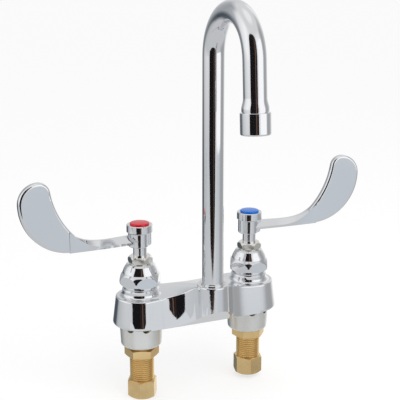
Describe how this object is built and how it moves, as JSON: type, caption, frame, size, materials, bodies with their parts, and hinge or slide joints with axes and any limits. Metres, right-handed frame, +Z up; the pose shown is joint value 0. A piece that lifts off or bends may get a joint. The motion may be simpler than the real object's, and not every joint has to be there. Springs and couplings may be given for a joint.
{
  "type": "deck-mount faucet",
  "caption": "Chrome deck-mount faucet with a swivelling gooseneck spout and wrist-blade lever handles on ceramic-disc valves, threaded shanks below.",
  "frame": {"origin": "on the deck plane, the body's underside, midway between the two valve axes", "axes": "+X towards the cold valve, -Y towards the user, +Z up along the valve and spout axes"},
  "size_m": [0.3062, 0.144, 0.336],
  "materials": {
    "body_chrome": "polished",
    "spout_chrome": "polished",
    "aerator_chrome": "polished",
    "bonnet_chrome": "polished",
    "stem_chrome": "polished",
    "handle_chrome": "polished",
    "cup_zinc": "satin plated",
    "shank_brass": "machined, satin",
    "swivel_brass": "machined",
    "screw_steel": "machined",
    "hot_cap_plastic": "glossy",
    "cold_cap_plastic": "glossy",
    "disc_ceramic": "lapped",
    "washer_plastic": "matte",
    "packing_plastic": "matte",
    "insert_plastic": "matte",
    "seal_rubber": "matte"
  },
  "bodies": {
    "fixed_body": {"body_casting": "body_chrome", "spout_bushing": "spout_chrome", "thrust_washer": "washer_plastic", "hot_shank": "shank_brass", "hot_bonnet": "bonnet_chrome", "hot_packing_nut": "bonnet_chrome", "hot_packing_ring": "packing_plastic", "hot_cartridge_housing": "swivel_brass", "hot_housing_o_ring": "seal_rubber", "hot_seat_seal": "seal_rubber", "hot_fixed_disc": "disc_ceramic", "cold_shank": "shank_brass", "cold_bonnet": "bonnet_chrome", "cold_packing_nut": "bonnet_chrome", "cold_packing_ring": "packing_plastic", "cold_cartridge_housing": "swivel_brass", "cold_housing_o_ring": "seal_rubber", "cold_seat_seal": "seal_rubber", "cold_fixed_disc": "disc_ceramic"},
    "spout": {"spout_tube": "spout_chrome", "spout_sleeve": "swivel_brass", "swivel_o_ring_lower": "seal_rubber", "swivel_o_ring_upper": "seal_rubber", "aerator_housing": "aerator_chrome", "aerator_gasket": "seal_rubber", "aerator_insert": "insert_plastic"},
    "hot_valve": {"hot_stem": "stem_chrome", "hot_stem_o_ring": "seal_rubber", "hot_moving_disc": "disc_ceramic", "hot_handle": "handle_chrome", "hot_handle_screw": "screw_steel", "hot_index_cap": "hot_cap_plastic"},
    "hot_cup": {"hot_cup_washer": "cup_zinc"},
    "hot_lock": {"hot_locknut": "shank_brass"},
    "hot_seal": {"hot_coupling_washer": "washer_plastic"},
    "hot_coupling": {"hot_coupling_nut": "shank_brass"},
    "cold_valve": {"cold_stem": "stem_chrome", "cold_stem_o_ring": "seal_rubber", "cold_moving_disc": "disc_ceramic", "cold_handle": "handle_chrome", "cold_handle_screw": "screw_steel", "cold_index_cap": "cold_cap_plastic"},
    "cold_cup": {"cold_cup_washer": "cup_zinc"},
    "cold_lock": {"cold_locknut": "shank_brass"},
    "cold_seal": {"cold_coupling_washer": "washer_plastic"},
    "cold_coupling": {"cold_coupling_nut": "shank_brass"}
  },
  "joints": [
    {"name": "spout_swivel", "type": "hinge", "parent": "fixed_body", "child": "spout", "pos_m": [0, -0.035, 0.03], "axis": [0, 0, 1], "continuous": true},
    {"name": "hot_lever", "type": "hinge", "parent": "fixed_body", "child": "hot_valve", "pos_m": [-0.0508, 0, 0.07], "axis": [0, 0, 1], "range_deg": [0, 90]},
    {"name": "hot_cup_slide", "type": "slide", "parent": "fixed_body", "child": "hot_cup", "axis": [0, 0, -1], "range_m": [0, 0.01814]},
    {"name": "hot_locknut_turn", "type": "hinge", "parent": "hot_cup", "child": "hot_lock", "pos_m": [-0.0508, 0, -0.025], "axis": [0, 0, -1], "range_deg": [0, 3600.5]},
    {"name": "hot_seal_slide", "type": "slide", "parent": "fixed_body", "child": "hot_seal", "axis": [0, 0, -1], "range_m": [0, 0.00907]},
    {"name": "hot_coupling_turn", "type": "hinge", "parent": "hot_seal", "child": "hot_coupling", "pos_m": [-0.0508, 0, -0.06], "axis": [0, 0, -1], "range_deg": [0, 1800.5]},
    {"name": "cold_lever", "type": "hinge", "parent": "fixed_body", "child": "cold_valve", "pos_m": [0.0508, 0, 0.07], "axis": [0, 0, -1], "range_deg": [0, 90]},
    {"name": "cold_cup_slide", "type": "slide", "parent": "fixed_body", "child": "cold_cup", "axis": [0, 0, -1], "range_m": [0, 0.01814]},
    {"name": "cold_locknut_turn", "type": "hinge", "parent": "cold_cup", "child": "cold_lock", "pos_m": [0.0508, 0, -0.025], "axis": [0, 0, -1], "range_deg": [0, 3600.5]},
    {"name": "cold_seal_slide", "type": "slide", "parent": "fixed_body", "child": "cold_seal", "axis": [0, 0, -1], "range_m": [0, 0.00907]},
    {"name": "cold_coupling_turn", "type": "hinge", "parent": "cold_seal", "child": "cold_coupling", "pos_m": [0.0508, 0, -0.06], "axis": [0, 0, -1], "range_deg": [0, 1800.5]}
  ],
  "couplings": [
    {"joint": "hot_locknut_turn", "follows": "hot_cup_slide", "rad_per_m": 3463.7},
    {"joint": "hot_coupling_turn", "follows": "hot_seal_slide", "rad_per_m": 3463.7},
    {"joint": "cold_locknut_turn", "follows": "cold_cup_slide", "rad_per_m": 3463.7},
    {"joint": "cold_coupling_turn", "follows": "cold_seal_slide", "rad_per_m": 3463.7}
  ]
}
